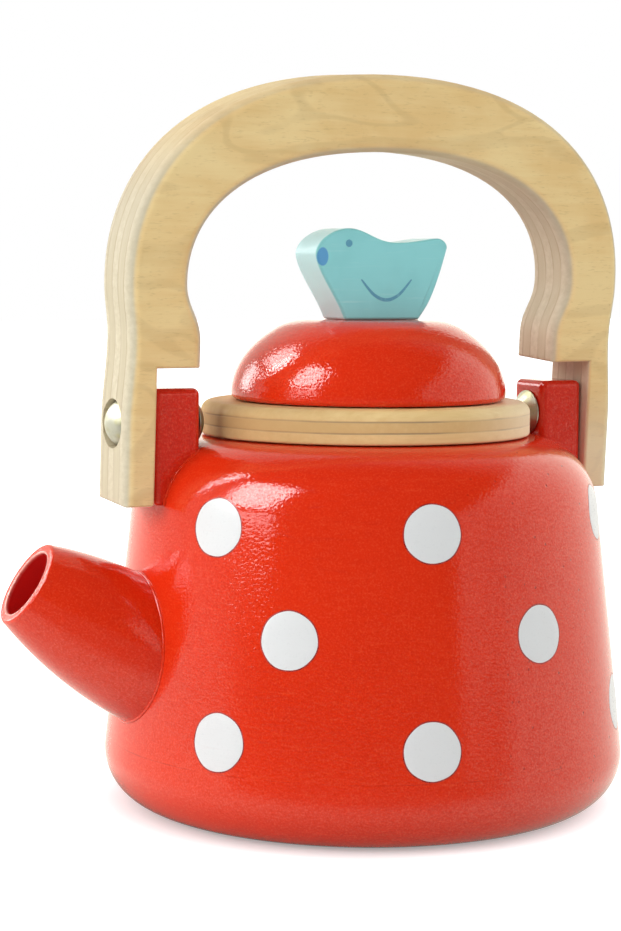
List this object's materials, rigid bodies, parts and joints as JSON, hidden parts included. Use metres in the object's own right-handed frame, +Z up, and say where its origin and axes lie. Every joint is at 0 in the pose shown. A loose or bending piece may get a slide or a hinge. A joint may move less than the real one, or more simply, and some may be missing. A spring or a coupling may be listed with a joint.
{
  "type": "toy kettle",
  "caption": "Wooden toy kettle for pretend play: round tapered body, angled spout, lift-off lid with a bird knob, and a plywood arch handle that swings on side pivots.",
  "frame": {"origin": "centre of the flat base, on the surface that the kettle stands on", "axes": "+Z up; the spout points to -X; the handle's pivot axis runs along X"},
  "size_m": [0.1616, 0.129, 0.1791],
  "materials": {
    "red_paint": "gloss red paint over turned wood, with white dots on the body",
    "bare_plywood": "clear satin lacquer over birch plywood",
    "blue_paint": "satin pale blue paint over wood",
    "dowel_wood": "plain beech",
    "zinc_plate": "bright zinc plate"
  },
  "bodies": {
    "kettle": {"body_shell": "red_paint", "base_disc": "red_paint", "spout": "red_paint", "spout_dowel": "dowel_wood", "post_front": "red_paint", "post_rear": "red_paint", "post_dowel_front": "dowel_wood", "post_dowel_rear": "dowel_wood", "pivot_bolt_front": "zinc_plate", "pivot_bolt_rear": "zinc_plate", "cap_nut_front": "zinc_plate", "cap_nut_rear": "zinc_plate"},
    "handle_arch": {"handle": "bare_plywood"},
    "lid": {"lid_plug": "bare_plywood", "lid_flange": "bare_plywood", "lid_dome": "red_paint", "lid_dowel": "dowel_wood", "knob_dowel": "dowel_wood", "bird_knob": "blue_paint"}
  },
  "joints": [
    {"name": "handle_swing", "type": "hinge", "parent": "kettle", "child": "handle_arch", "pos_m": [0, 0, 0.09523], "axis": [1, 0, 0], "range_deg": [-93, 86]},
    {"name": "lid_lift", "type": "slide", "parent": "kettle", "child": "lid", "axis": [0, 0, 1], "range_m": [0, 0.016]}
  ]
}
